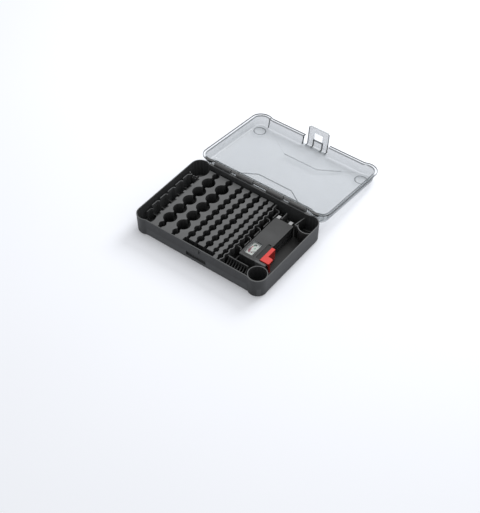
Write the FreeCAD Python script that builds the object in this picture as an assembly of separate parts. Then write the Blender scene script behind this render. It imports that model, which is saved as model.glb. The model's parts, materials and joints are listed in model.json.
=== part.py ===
import FreeCAD, Part
import math
import os

# Hinged battery organiser case: a shell base with a well tray, a clear lid with a
# snap latch, and a small sliding-arm battery tester that lifts out of its bay.
# Units are millimetres.  Origin: centre of the base's underside, +X along the long
# side towards the tester, +Y towards the hinges, +Z up.  The lid is modelled where
# it rests when it is folded right back, with its far edge just above the ground.

os.makedirs("parts", exist_ok=True)
Vector = FreeCAD.Vector

# ---- driving dimensions: base shell -------------------------------------------
case_length = 300.0
case_depth = 201.0
base_height = 42.0
shell_wall = 1.8
base_draft = 1.0            # how far the walls lean in from rim to underside
bottom_round = 4.0
corner_radius = 20.0
corner_bulge = 2.9          # how far the corners stand proud of the long walls
corner_blend = 12.0         # hollow radius between a bulge and its long wall

# ---- driving dimensions: cells that the wells hold ----------------------------
c_cell = 26.2
d_cell = 34.2
aa_cell = 14.5
aaa_cell = 10.5
block_cell_thickness = 17.5
cell_slack = 0.4            # added to a cell's diameter
c_slack = 1.3
d_slack = 0.7
d_well_wall = 1.6

# ---- driving dimensions: tray -------------------------------------------------
tray_top = 32.3
tray_wall = 1.6
tray_gap = 0.4              # between the tray and the shell round it
tray_rear_gap = 6.2         # from the tray to the long rear wall's outside
aa_strip_front = -79.6
cutaway_left = -38.0
cutaway_right = 34.0
centre_line = 2.4           # y of the middle C well

c_columns = (-93.3, -60.6)
c_pitch = 29.3
c_count = 5
c_neck = 8.2
end_well_front = -78.6      # AA-size wells that close each C column
end_well_rear = 84.4

aa_columns = (-32.5, -11.6, 9.3)
aa_pitch = 17.9
aa_count = 9
aa_first = -66.1
aa_neck = 6.6

aaa_columns = (28.7, 44.8)
aaa_pitch = 15.3
aaa_count = 11
aaa_first = (-71.1, -78.8)
aaa_neck = 5.3

# ---- driving dimensions: block cell cradles on the left ------------------------
cradle_inset = 8.4          # from the case's left end to the leaves
cradle_count = 5
cradle_pitch = 23.4
cradle_first = -51.8
cradle_round = 5.0
block_edge_x = -118.0
block_recess = 4.0
block_recess_depth = 3.0
cradle_low_top = 27.0
low_leaf_shift = 3.0
divider_top = 14.0

# ---- driving dimensions: coin column, comb and tester bay ----------------------
coin_wall_x = 62.2
coin_wall_top = 16.0
coin_pitch = 30.0
coin_count = 6
coin_first = -65.6
coin_divider_top = 28.0
coin_round = 6.0
comb_first_x = 57.0
comb_pitch = 5.97
comb_count = 8
comb_rear_y = -67.1
comb_top = 30.0
comb_scoop = 13.5           # radius of the hollow across the ribs' tops
comb_scoop_rise = 2.0       # the hollow's centre above the ribs' tops
tester_rib_length = 15.0
tester_rib_first = -29.6
tester_rib_count = 4
tester_rib_top = 30.0
fin_x = 77.7
fin_length = 18.6
fin_gap = 1.4
fin_top = 31.5
rear_d_wall_radius = 20.0
rear_d_wall_reach = 13.5    # from the corner's centre to the arc wall's outer end
rear_d_wall_start = 18.0    # from the right corner's centre to the arc's inner end
notch_first = 62.0          # degrees round the left arc wall to its first notch
notch_pitch = 18.0
notch_count = 4
notch_width = 3.2
notch_depth = 6.0
partition_front_reach = (22.5, 11.6)    # in from the right rear corner's centre
partition_rear_reach = (18.5, 13.5)
partition_link_reach = 15.5
partition_rib_pitch = 2.2
partition_rib_count = 3

# ---- driving dimensions: hinges and lid ----------------------------------------
hinge_reach = 1.35          # hinge line past the rear corners
hinge_rise = 1.9            # hinge line above the underside of the lid's flange
hinge_centres = (-89.5, -36.0, 36.0, 89.5)
hinge_length = 33.0
knuckle_radius = 3.3
hinge_bar_radius = 1.7
hinge_running_clearance = 0.05
ear_thickness = 2.4
ear_side_gap = 0.4
ledge_thickness = 1.8
ledge_overhang = 3.05       # past the long rear wall
gusset_depth = 12.0
knuckle_room = 0.4          # round each knuckle, where it turns past the ledge
lid_gap = 0.3
lid_overlap = 1.4           # lid flange past the base rim at sides and rear corners
lid_front_overlap = 4.5
lid_corner_radius = 24.0
lid_front_bulge = 4.0
lid_rear_bulge = 4.05
flange_ear_gap = 0.6        # between the lid's flange strips and the hinge ears
flange_strip_gap = 0.2      # from the strips' edge back past the hinge line
lid_flange = 4.3
lid_flange_thickness = 1.8
lid_wall = 1.8
lid_height = 23.7
lid_draft = 2.6
lid_round = 3.5
lid_panel_drop = 0.6        # main panel below the two end pads
pad_half_width = 40.0
pad_front_y = -42.1
pad_rear_y = 47.9
corner_ring_radius = 12.5
corner_ring_width = 1.5
corner_ring_front = (125.0, -73.1)
corner_ring_rear = (124.0, 81.9)
ground_gap = 0.2            # under the folded lid's lowest edge

# ---- driving dimensions: latch ---------------------------------------------------
latch_half_width = 24.5
latch_slit = 5.5
latch_thickness = 2.0
latch_inner_y = -100.9
latch_bottom = 18.5
latch_corner = 3.2
latch_root_z = 62.8
latch_root_y = -95.2
latch_bead_radius = 1.2
latch_window_half = 10.0
latch_window = (30.0, 46.0)
latch_rib_x = 10.75
latch_rib_height = 0.8
catch_half_width = 8.5
catch_z = (31.0, 40.0)
catch_clearance = 0.3
finger_recess_half = 23.0
finger_recess_z = (9.0, 19.0)
finger_recess_depth = 5.0

# ---- driving dimensions: tester --------------------------------------------------
tester_x = (65.5, 107.0)
tester_y = (-51.0, 65.0)
tester_height = 27.0
tester_split = 12.6         # height of the bottom case
tester_wall = 1.8
tester_corner = 2.0
foot_reach = 124.0
foot_depth = 6.4
window_x = (71.0, 88.0)
window_y = (-41.6, -8.6)
window_ledge = 1.0
window_thickness = 1.0
slider_travel = 62.0
slider_gap = 0.3
slider_side = 115.0
slider_y = (-42.6, -4.6)
slider_arm_length = 12.0
slider_arm_back = -27.6
slider_arm_thickness = 3.8
slider_bottom = 6.5
post_width = 6.0
post_depth = 5.0
rail_groove_z = (10.0, 22.0)
rail_groove_height = 2.0
rail_groove_depth = 0.9
slider_neck_y = (-30.0, -15.0)
slider_neck_height = 2.2
slider_flange_height = 7.0
slider_flange_thickness = 2.0
meter_pivot = (91.0, -25.0)
meter_ring_radius = 7.0
meter_bore_radius = 4.8
meter_core_radius = 3.0
meter_ring_z = (12.4, 21.6)
meter_plate_thickness = 1.2
bracket_clear = 0.5         # from the ring magnet to the bracket's upright
bracket_half_depth = 3.0
coil_bar = 0.8
shaft_radius = 0.5
shaft_clearance = 0.05
needle_length = 17.0
needle_swing = 70.0         # full scale; the needle rests at its low end
needle_z = 26.3
dial_z = 25.4
dial_thickness = 0.4
contact_thickness = 0.4
block_contact_x = (69.5, 97.0)
block_contact_width = 7.0
block_contact_reach = 9.0
channel_x = (97.0, 103.0)    # guide groove in the cover, beside the dial
channel_y = (-41.6, -0.6)
channel_depth = 1.0
cover_strip_x = (90.0, 93.0)
cover_strip_y = (-42.6, -25.6)
cover_raise = 0.4
foot_contact_x = (109.5, 122.0)
contact_tail_width = 4.0
foot_tail_x = (112.0, 115.0)
foot_tail_drop = 3.0
screw_spots = ((70.5, -46.0), (78.0, 59.5), (88.5, 59.5))
screw_radius = 1.2
screw_head_radius = 2.6
screw_head_height = 1.8
screw_length = 12.0
wire_radius = 0.7

# ---- worked out from the driving dimensions --------------------------------------
front_wall = -(case_depth / 2 - corner_bulge)
rear_wall = -front_wall
corner_x = case_length / 2 - corner_radius
corner_y = case_depth / 2 - corner_radius
floor_top = shell_wall
tray_floor_top = floor_top + tray_wall
inner_round = bottom_round - shell_wall
round_inset = inner_round - math.sqrt(inner_round ** 2 - (inner_round - tray_wall) ** 2)
tray_front = front_wall + shell_wall + base_draft + round_inset + tray_gap
column_lines = c_columns + aa_columns + aaa_columns
d_well_radius = d_cell / 2 + d_slack / 2
d_tube_radius = d_well_radius + d_well_wall
c_radius = c_cell / 2 + c_slack / 2
aa_radius = aa_cell / 2 + cell_slack / 2
aaa_radius = aaa_cell / 2 + cell_slack / 2
rim_z = base_height + lid_gap
hinge_y = case_depth / 2 + hinge_reach
hinge_z = rim_z + hinge_rise
tray_rear = rear_wall - tray_rear_gap
cradle_x = cradle_inset - case_length / 2
rear_d_wall_end = corner_x + rear_d_wall_reach
rear_d_wall_right_x = corner_x - rear_d_wall_start
partition_front = (corner_x - partition_front_reach[0], corner_y - partition_front_reach[1])
partition_rear = (corner_x - partition_rear_reach[0], corner_y + partition_rear_reach[1])
partition_link_x = corner_x - partition_link_reach
slider_arm_reach = slider_side + slider_arm_length
lid_top = rim_z + lid_height
lid_front_y = -(case_depth / 2 + lid_front_overlap)
lid_rear_y = case_depth / 2 + lid_overlap
lid_length = case_length + 2 * lid_overlap
lid_depth = lid_rear_y - lid_front_y
lid_centre_y = (lid_rear_y + lid_front_y) / 2
lid_flange_front = lid_front_y + lid_front_bulge
lid_flange_rear = lid_rear_y - lid_rear_bulge
tester_z = (tray_floor_top, tray_floor_top + tester_height)
tester_seam = tester_z[0] + tester_split
foot_back = tester_y[0] + foot_depth


# ---- small helpers -----------------------------------------------------------------
def box(x0, x1, y0, y1, z0, z1):
    """Upright box between two corners."""
    return Part.makeBox(x1 - x0, y1 - y0, z1 - z0, Vector(x0, y0, z0))


def post(x, y, radius, z0, z1):
    """Upright cylinder."""
    return Part.makeCylinder(radius, z1 - z0, Vector(x, y, z0))


def bar_x(x0, x1, y, z, radius):
    """Cylinder along X."""
    return Part.makeCylinder(radius, x1 - x0, Vector(x0, y, z), Vector(1, 0, 0))


def tube(x, y, inner, outer, z0, z1):
    """Upright round tube."""
    return post(x, y, outer, z0, z1).cut(post(x, y, inner, z0, z1))


def union(shapes):
    """One solid from pieces that meet."""
    return shapes[0].multiFuse(shapes[1:]).removeSplitter()


def carve(shape, cutters):
    """A solid with every cutter taken away."""
    return shape.cut(Part.makeCompound(cutters))


def prism_x(points, x0, x1):
    """A (y, z) outline carried along X."""
    corners = [Vector(x0, y, z) for y, z in points]
    face = Part.Face(Part.makePolygon(corners + [corners[0]]))
    return face.extrude(Vector(x1 - x0, 0, 0))


def prism_z(points, z0, z1):
    """An (x, y) outline carried along Z."""
    corners = [Vector(x, y, z0) for x, y in points]
    face = Part.Face(Part.makePolygon(corners + [corners[0]]))
    return face.extrude(Vector(0, 0, z1 - z0))


def wall_between(start, end, thickness, z0, z1):
    """Upright wall between two plan points, with its thickness centred on the line."""
    run = Vector(end[0] - start[0], end[1] - start[1], 0)
    wall = Part.makeBox(run.Length, thickness, z1 - z0, Vector(0, -thickness / 2, z0))
    wall.rotate(Vector(), Vector(0, 0, 1), math.degrees(math.atan2(run.y, run.x)))
    wall.translate(Vector(start[0], start[1], 0))
    return wall


def round_upright(shape, radius, spots):
    """Rounds the upright edges that pass through the given plan points."""
    edges = []
    for edge in shape.Edges:
        first, last = edge.Vertexes[0].Point, edge.Vertexes[-1].Point
        upright = abs(first.x - last.x) < 1e-6 and abs(first.y - last.y) < 1e-6
        near = any(math.hypot(first.x - x, first.y - y) < 0.01 for x, y in spots)
        if upright and near and edge.Length > 1:
            edges.append(edge)
    return shape.makeFillet(radius, edges)


def flat_edges(shape, z):
    """Edges that lie wholly at one height."""
    return [edge for edge in shape.Edges
            if abs(edge.BoundBox.ZMin - z) < 1e-6 and abs(edge.BoundBox.ZMax - z) < 1e-6]


def bulged_outline(length, depth, radius, front_bulge, rear_bulge, inset, z, centre_y=0.0):
    """Closed wire: a rectangle whose round corners stand proud of its long sides.

    Each corner arc is met by a hollow arc that runs out into the long side.  An inset
    shrinks corner arcs and opens hollow arcs about the same centres.
    """
    corner_cx = length / 2 - radius
    corner_cy = depth / 2 - radius
    edges = []
    joins = []
    for side_y, bulge in ((1, rear_bulge), (-1, front_bulge)):
        rise = radius + corner_blend - bulge
        run = math.sqrt((radius + corner_blend) ** 2 - rise ** 2)
        turn = math.atan2(rise, -run)
        for side_x in (1, -1):
            def on_arc(cx, cy, r, angle):
                return Vector(side_x * (cx + r * math.cos(angle)),
                              centre_y + side_y * (cy + r * math.sin(angle)), z)

            small = radius - inset
            wide = corner_blend + inset
            hollow_x = corner_cx - run
            hollow_y = corner_cy + rise
            corner = [on_arc(corner_cx, corner_cy, small, turn * k / 2) for k in range(3)]
            start, end = turn + math.pi, 1.5 * math.pi
            hollow = [on_arc(hollow_x, hollow_y, wide, start + (end - start) * k / 2)
                      for k in range(3)]
            edges.append(Part.Arc(*corner).toShape())
            edges.append(Part.Arc(*hollow).toShape())
            joins.append((corner[0], hollow[2]))
    rear_right, rear_left, front_right, front_left = joins
    edges.append(Part.LineSegment(rear_right[1], rear_left[1]).toShape())
    edges.append(Part.LineSegment(front_right[1], front_left[1]).toShape())
    edges.append(Part.LineSegment(rear_right[0], front_right[0]).toShape())
    edges.append(Part.LineSegment(rear_left[0], front_left[0]).toShape())
    return Part.Wire(Part.__sortEdges__(edges))


def base_outline(inset, z):
    """The base's plan outline, drawn in from the rim by an inset."""
    return bulged_outline(case_length, case_depth, corner_radius, corner_bulge, corner_bulge,
                          inset, z)


def lid_outline(inset, z):
    """The lid's plan outline, drawn in from the edge of its flange by an inset."""
    return bulged_outline(lid_length, lid_depth, lid_corner_radius, lid_front_bulge,
                          lid_rear_bulge, inset, z, lid_centre_y)


def tapered(lower, upper):
    """Solid between two like outlines."""
    return Part.makeLoft([lower, upper], True, True)


def slab(outline, height):
    """Solid of constant section."""
    return Part.Face(outline).extrude(Vector(0, 0, height))


def hinge_span(centre, margin=0.0):
    """First and last x of one lid knuckle, widened by a margin."""
    return centre - hinge_length / 2 - margin, centre + hinge_length / 2 + margin


# ---- base shell ----------------------------------------------------------------------
def base_body():
    """Open tray-shaped shell with leaning walls and a rounded underside."""
    outer = tapered(base_outline(base_draft, 0), base_outline(0, base_height))
    outer = outer.makeFillet(bottom_round, flat_edges(outer, 0))
    hollow = tapered(base_outline(base_draft + shell_wall, floor_top),
                     base_outline(shell_wall, base_height))
    return outer.cut(hollow.makeFillet(inner_round, flat_edges(hollow, floor_top)))


def front_d_tube():
    """Full-height round well for a D cell in the right front corner."""
    return tube(corner_x, -corner_y, d_well_radius, d_tube_radius, floor_top,
                base_height - lid_gap)


def hinge_ledge():
    """Flat ledge between the rear corner bulges, with a gusset under every hinge ear."""
    reach = case_length / 2 - corner_radius - corner_blend
    ledge_edge = rear_wall + ledge_overhang
    pieces = [box(-reach, reach, rear_wall - shell_wall, ledge_edge,
                  base_height - ledge_thickness, base_height)]
    wall_inside = rear_wall - shell_wall / 2 - base_draft
    for centre in hinge_centres:
        inner, outer = hinge_span(centre, ear_side_gap)
        for x0, x1 in ((inner - ear_thickness, inner), (outer, outer + ear_thickness)):
            ear_rear = hinge_y + knuckle_radius
            pieces.append(bar_x(x0, x1, hinge_y, hinge_z, knuckle_radius))
            pieces.append(prism_x([(wall_inside, base_height - ledge_thickness),
                                   (wall_inside, base_height - gusset_depth),
                                   (rear_wall, base_height - gusset_depth),
                                   (ear_rear, base_height - ledge_thickness - 1),
                                   (ear_rear, hinge_z),
                                   (hinge_y - knuckle_radius, hinge_z),
                                   (hinge_y - knuckle_radius, base_height - ledge_thickness)],
                                  x0, x1))
    return pieces


def hinge_bars():
    """The round bars that the lid's knuckles snap onto."""
    return [bar_x(*hinge_span(centre, ear_side_gap + ear_thickness / 2),
                  hinge_y, hinge_z, hinge_bar_radius) for centre in hinge_centres]


def latch_catch():
    """Wedge on the front wall that the latch window drops over."""
    tip = latch_inner_y + catch_clearance
    root = front_wall + base_draft
    return prism_x([(root, catch_z[0]), (tip, catch_z[0]), (tip, catch_z[0] + 2),
                    (front_wall - 0.4, catch_z[1]), (root, catch_z[1])],
                   -catch_half_width, catch_half_width)


def finger_recess(grow):
    """Pocket under the latch for a fingertip; grown by a wall it is its housing."""
    z0, z1 = finger_recess_z
    start = front_wall - 2 if grow == 0 else front_wall + base_draft
    return box(-finger_recess_half - grow, finger_recess_half + grow, start,
               front_wall + finger_recess_depth + grow, z0 - grow, z1 + grow)


def base_shell():
    body = base_body()
    shell = union([body, finger_recess(shell_wall), latch_catch(), front_d_tube()]
                  + hinge_ledge())
    rooms = [bar_x(*hinge_span(centre, ear_side_gap), hinge_y, hinge_z,
                   knuckle_radius + knuckle_room) for centre in hinge_centres]
    shell = carve(shell, rooms + [finger_recess(0)])
    return union([shell] + hinge_bars())


# ---- battery tray: a floor and what stands on it, met face to face -------------------
def tray_floor():
    """Flat plate clear of the shell's rounded inside edge, with a fin behind the tester."""
    inset = base_draft + bottom_round + 2 * tray_gap
    plate = slab(base_outline(inset, floor_top), tray_wall)
    fin_start = tester_y[1] + fin_gap
    fin = box(fin_x - tray_wall / 2, fin_x + tray_wall / 2, fin_start, fin_start + fin_length,
              floor_top, fin_top)
    tube_room = post(corner_x, -corner_y, d_tube_radius + tray_gap, 0, tray_top + 1)
    return union([carve(plate, [tube_room]), fin])


def front_left_d_room(grow):
    """Space that the tray leaves for the D cell in the left front corner."""
    return post(-corner_x, -corner_y, d_well_radius + grow, 0, tray_top + 1)


def column_wells(index, grow):
    """One column of wells joined by a straight neck, every side grown by the same amount."""
    x = column_lines[index]
    c_ys = [centre_line + c_pitch * (k - (c_count - 1) / 2) for k in range(c_count)]
    if x in c_columns:
        wells = [(y, c_radius) for y in c_ys] + [(end_well_front, aa_radius),
                                                 (end_well_rear, aa_radius)]
        neck = c_neck
    elif x in aa_columns:
        wells = [(aa_first + aa_pitch * k, aa_radius) for k in range(aa_count)]
        neck = aa_neck
    else:
        first = aaa_first[aaa_columns.index(x)]
        wells = [(first + aaa_pitch * k, aaa_radius) for k in range(aaa_count)]
        neck = aaa_neck
    top = tray_top + 1
    posts = [post(x, y, radius + grow, tray_floor_top, top) for y, radius in wells]
    return posts + [box(x - neck / 2 - grow, x + neck / 2 + grow, tray_front - 1,
                        tray_rear + 1, tray_floor_top, top)]


def cradle_start(k):
    """Front edge of a block cell's place."""
    return cradle_first + cradle_pitch * k


def block_cell_recesses(grow):
    """Shallow steps along the first strip's left edge that take the sides of block cells."""
    return [box(block_edge_x - 1, block_edge_x + block_recess + grow,
                cradle_start(k) - grow, cradle_start(k) + block_cell_thickness + grow,
                tray_top - block_recess_depth - grow, tray_top + 1)
            for k in range(-1, cradle_count)]


def strip_body(index, grow):
    """A well strip without its scallops, or drawn in by a wall the hollow inside it."""
    left = column_lines[index - 1] if index else block_edge_x
    top = tray_top - grow
    body = box(left + grow, column_lines[index], tray_front + grow, tray_rear - grow,
               tray_floor_top, top)
    rear_gap = rear_d_wall_radius - tray_wall / 2 + grow
    return carve(body, [front_left_d_room(grow), post(-corner_x, corner_y, rear_gap, 0, top),
                        box(cutaway_left - grow, cutaway_right + grow, tray_front - 1,
                            aa_strip_front + grow, 0, top)])


def well_strip(index):
    """Hollow strip that stands between two neighbouring columns of wells."""
    def scallops(grow):
        cutters = column_wells(index, grow)
        if index == 0:
            return cutters + block_cell_recesses(grow)
        return cutters + column_wells(index - 1, grow)

    outside = carve(strip_body(index, 0), scallops(0))
    return outside.cut(carve(strip_body(index, tray_wall), scallops(tray_wall)))


def scalloped_wall():
    """Thin wavy wall along the far side of the last column."""
    last = len(column_lines) - 1
    reach = box(column_lines[last], coin_wall_x, tray_front, tray_rear, tray_floor_top,
                tray_top)
    return carve(union(column_wells(last, tray_wall)).common(reach), column_wells(last, 0))


def block_cell_leaf(y0, top):
    """J-shaped upright leaf: a straight wall that turns in round a block cell's corner."""
    bend_y = y0 + block_cell_thickness - cradle_round
    bend_x = cradle_x + cradle_round
    half = tray_wall / 2
    low = tray_floor_top
    straight = box(cradle_x - half, cradle_x + half, y0, bend_y, low, top)
    bend = tube(bend_x, bend_y, cradle_round - half, cradle_round + half, low, top)
    quarter = box(bend_x - cradle_round - 1, bend_x, bend_y, bend_y + cradle_round + 1,
                  low, top)
    return carve(union([straight, bend.common(quarter)]), [front_left_d_room(0)])


def block_cell_leaves():
    """Five tall leaves and a low one in front, one solid each."""
    leaves = [block_cell_leaf(cradle_start(k), tray_top) for k in range(cradle_count)]
    leaves.append(block_cell_leaf(cradle_start(-1) + low_leaf_shift, cradle_low_top))
    return Part.makeCompound(leaves)


def block_cell_dividers():
    """Low walls between the block cells' places, one solid each."""
    gap_middle = (cradle_pitch + block_cell_thickness) / 2
    walls = []
    for k in range(-1, cradle_count - 1):
        y = cradle_start(k) + gap_middle
        walls.append(box(cradle_x + cradle_round, block_edge_x, y - tray_wall / 2,
                         y + tray_wall / 2, tray_floor_top, divider_top))
    return Part.makeCompound(walls)


def coin_column():
    """Low wall with rounded coin cell dividers and raised stretches beside the tester."""
    half = tray_wall / 2
    low = tray_floor_top
    last = len(column_lines) - 1
    bend_x = coin_wall_x - coin_round
    dividers = []
    for k in range(1, coin_count):
        y = coin_first + coin_pitch * k
        bend = tube(bend_x, y - coin_round, coin_round - half, coin_round + half, low,
                    coin_divider_top)
        quarter = box(bend_x, bend_x + coin_round + 1, y - coin_round, y + 1, low,
                      coin_divider_top)
        dividers.append(union([
            box(column_lines[last], bend_x, y - half, y + half, low, coin_divider_top),
            bend.common(quarter)]))
    dividers.append(box(column_lines[last], coin_wall_x, coin_first - half,
                        coin_first + half, low, coin_divider_top))
    wall = box(coin_wall_x - half, coin_wall_x + half, coin_first - half, tray_rear, low,
               coin_wall_top)
    ribs = []
    for k in range(tester_rib_count):
        y = tester_rib_first + coin_pitch * k
        ribs.append(box(coin_wall_x - half, coin_wall_x + half, y, y + tester_rib_length,
                        low, tester_rib_top))
        ribs.append(box(coin_wall_x, tester_x[0] - tray_gap, y, y + tester_rib_length, low,
                        coin_wall_top))
    return union([carve(shape, column_wells(last, tray_wall)) for shape in dividers]
                 + [wall] + ribs)


def coin_comb():
    """Row of ribs hollowed across their tops, with coin cells on edge between them."""
    half = tray_wall / 2
    low = tray_floor_top
    last_x = comb_first_x + comb_pitch * (comb_count - 1)
    rear_bar = box(comb_first_x - half, last_x + half, comb_rear_y - tray_wall, comb_rear_y,
                   low, comb_top)
    ribs = []
    for k in range(comb_count):
        x = comb_first_x + comb_pitch * k
        ribs.append(box(x - half, x + half, tray_front, comb_rear_y - half, low, comb_top))
    scoop = bar_x(comb_first_x - 2, last_x + 2, comb_rear_y - tray_wall - comb_scoop,
                  comb_top + comb_scoop_rise, comb_scoop)
    return union([rear_bar] + [rib.cut(scoop) for rib in ribs])


def rear_d_arc(side, inner_x):
    """Arc wall round one rear D cell, from a given distance along to near the side wall."""
    half = tray_wall / 2
    ring = tube(side * corner_x, corner_y, rear_d_wall_radius - half,
                rear_d_wall_radius + half, tray_floor_top, tray_top)
    return ring.common(box(min(side * inner_x, side * rear_d_wall_end),
                           max(side * inner_x, side * rear_d_wall_end),
                           corner_y - rear_d_wall_radius - 2, corner_y,
                           tray_floor_top, tray_top))


def rear_d_wall_left():
    """Arc wall with notches in its top."""
    notches = []
    for k in range(notch_count):
        notch = box(d_well_radius - corner_x, rear_d_wall_radius + tray_wall - corner_x,
                    corner_y - notch_width / 2, corner_y + notch_width / 2,
                    tray_top - notch_depth, tray_top + 1)
        notch.rotate(Vector(-corner_x, corner_y, 0), Vector(0, 0, 1),
                     -notch_first - notch_pitch * k)
        notches.append(notch)
    return carve(rear_d_arc(-1, abs(block_edge_x)), notches)


def rear_d_wall_right():
    """Arc wall, and the bent partition with short ribs beside the tester."""
    low = tray_floor_top
    link_y = corner_y - math.sqrt(rear_d_wall_radius ** 2
                                  - (corner_x - partition_link_x) ** 2)
    pieces = [rear_d_arc(1, rear_d_wall_right_x),
              wall_between(partition_front, partition_rear, tray_wall, low, tray_top),
              wall_between(partition_front, (partition_link_x, link_y), tray_wall, low,
                           tray_top)]
    for k in range(partition_rib_count):
        x = partition_front[0] + 1.2 + partition_rib_pitch * k
        pieces.append(box(x - 0.5, x + 0.5, link_y - 1.8, link_y + 1.0, low, tray_top - 1.5))
    return union(pieces)


# ---- lid and latch, drawn closed and then folded back --------------------------------
def rest_turn():
    """Angle about the hinge line, from closed to folded back on the ground.

    The lowest point then is the round top edge of the front corner bulges, so its
    centre has to stand one edge radius above the ground gap.
    """
    centre_y = lid_front_y + lid_flange + lid_draft + lid_round - hinge_y
    centre_z = lid_top - lid_round - hinge_z
    height = ground_gap + lid_round - hinge_z
    reach = math.hypot(centre_y, centre_z)
    lean = math.atan2(centre_y, centre_z)
    return lean - math.acos(height / reach)


def folded(shape):
    """A lid piece turned from its closed place to its rest place."""
    turned = shape.copy()
    turned.rotate(Vector(0, hinge_y, hinge_z), Vector(1, 0, 0), math.degrees(rest_turn()))
    return turned


def lid_pad(edge_y, end_y):
    """Raised area at one long side of the lid's panel, with sloping ends."""
    toward = 1 if end_y > 0 else -1
    knee_y = edge_y + toward * 28
    half = pad_half_width
    return prism_z([(-half, edge_y), (half, edge_y), (2 * half, knee_y),
                    (2.7 * half, end_y - toward * 8), (2.8 * half, end_y + toward * 20),
                    (-2.8 * half, end_y + toward * 20), (-2.7 * half, end_y - toward * 8),
                    (-2 * half, knee_y)], rim_z, lid_top + 1)


def lid_body():
    """Clear dish with leaning walls, a flat flange and a rounded top edge."""
    edge = lid_flange
    outer = tapered(lid_outline(edge, rim_z), lid_outline(edge + lid_draft, lid_top))
    outer = outer.makeFillet(lid_round, flat_edges(outer, lid_top))
    inside_top = lid_top - lid_wall
    hollow = tapered(lid_outline(edge + lid_wall, rim_z),
                     lid_outline(edge + lid_wall + lid_draft, inside_top))
    hollow = hollow.makeFillet(lid_round - lid_wall, flat_edges(hollow, inside_top))
    flange = slab(lid_outline(0, rim_z), lid_flange_thickness)
    return outer.fuse(flange).cut(hollow)


def panel_relief():
    """What is taken off the lid's top so that its pads and corner rings stand out."""
    flat_inset = lid_flange + lid_draft + lid_round + 1
    level = lid_top - lid_panel_drop
    sunk = slab(lid_outline(flat_inset, level), 2)
    sunk = carve(sunk, [lid_pad(pad_front_y, lid_flange_front),
                        lid_pad(pad_rear_y, lid_flange_rear)])
    rings = [tube(side * x, y, corner_ring_radius - corner_ring_width / 2,
                  corner_ring_radius + corner_ring_width / 2, level - 0.5, lid_top)
             for side in (-1, 1) for x, y in (corner_ring_front, corner_ring_rear)]
    return [sunk] + rings


def lid_knuckles():
    """Round knuckles, each on a web from the rear flange."""
    pieces = []
    for centre in hinge_centres:
        x0, x1 = hinge_span(centre)
        pieces.append(bar_x(x0, x1, hinge_y, hinge_z, knuckle_radius))
        pieces.append(box(x0, x1, lid_flange_rear - 1, hinge_y - knuckle_radius / 2,
                          rim_z, rim_z + lid_flange_thickness))
        for x in (x0 + 4, x1 - 4):
            pieces.append(prism_x([(lid_flange_rear - 1, rim_z),
                                   (lid_flange_rear - lid_flange - 1, rim_z),
                                   (lid_flange_rear - lid_flange - 2.5, lid_top - 8),
                                   (hinge_y - knuckle_radius, rim_z + 3)],
                                  x - 0.6, x + 0.6))
    return pieces


def flange_strips():
    """Flange carried back over the ledge between the hinge ears."""
    clear = ear_side_gap + ear_thickness + flange_ear_gap
    starts = [hinge_span(centre, clear)[1] for centre in hinge_centres[:-1]]
    ends = [hinge_span(centre, clear)[0] for centre in hinge_centres[1:]]
    return [box(x0, x1, lid_flange_rear - 1, hinge_y + flange_strip_gap, rim_z,
                rim_z + lid_flange_thickness) for x0, x1 in zip(starts, ends)]


def knuckle_bores():
    """Bore of each knuckle with the slot that lets it snap onto its bar."""
    cutters = []
    bore = hinge_bar_radius + hinge_running_clearance
    slot = hinge_bar_radius * 0.85
    for centre in hinge_centres:
        x0, x1 = hinge_span(centre, 1)
        cutters.append(bar_x(x0, x1, hinge_y, hinge_z, bore))
        cutters.append(box(x0, x1, hinge_y - slot, hinge_y + slot, hinge_z,
                           hinge_z + knuckle_radius + 1))
    return cutters


def lid_shell():
    """The clear lid in its folded-back place."""
    body = carve(lid_body(), panel_relief())
    opening_half = latch_half_width + latch_slit
    sill = latch_root_z - latch_bead_radius - 1.2
    opening = box(-opening_half, opening_half, lid_front_y - 1, latch_root_y + 8,
                  rim_z - 1, sill)
    shelf = box(-opening_half - 2, opening_half + 2, latch_root_y, latch_root_y + 4,
                sill, lid_top - lid_wall / 2)
    front_trim = box(-opening_half, opening_half, lid_front_y - 1, latch_root_y,
                     rim_z - 1, lid_top - lid_round)
    body = union([carve(body, [opening, front_trim]), shelf] + lid_knuckles()
                 + flange_strips())
    groove = bar_x(-opening_half - 3, opening_half + 3, latch_root_y, latch_root_z,
                   latch_bead_radius + hinge_running_clearance)
    return folded(carve(body, knuckle_bores() + [groove]))


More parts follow.
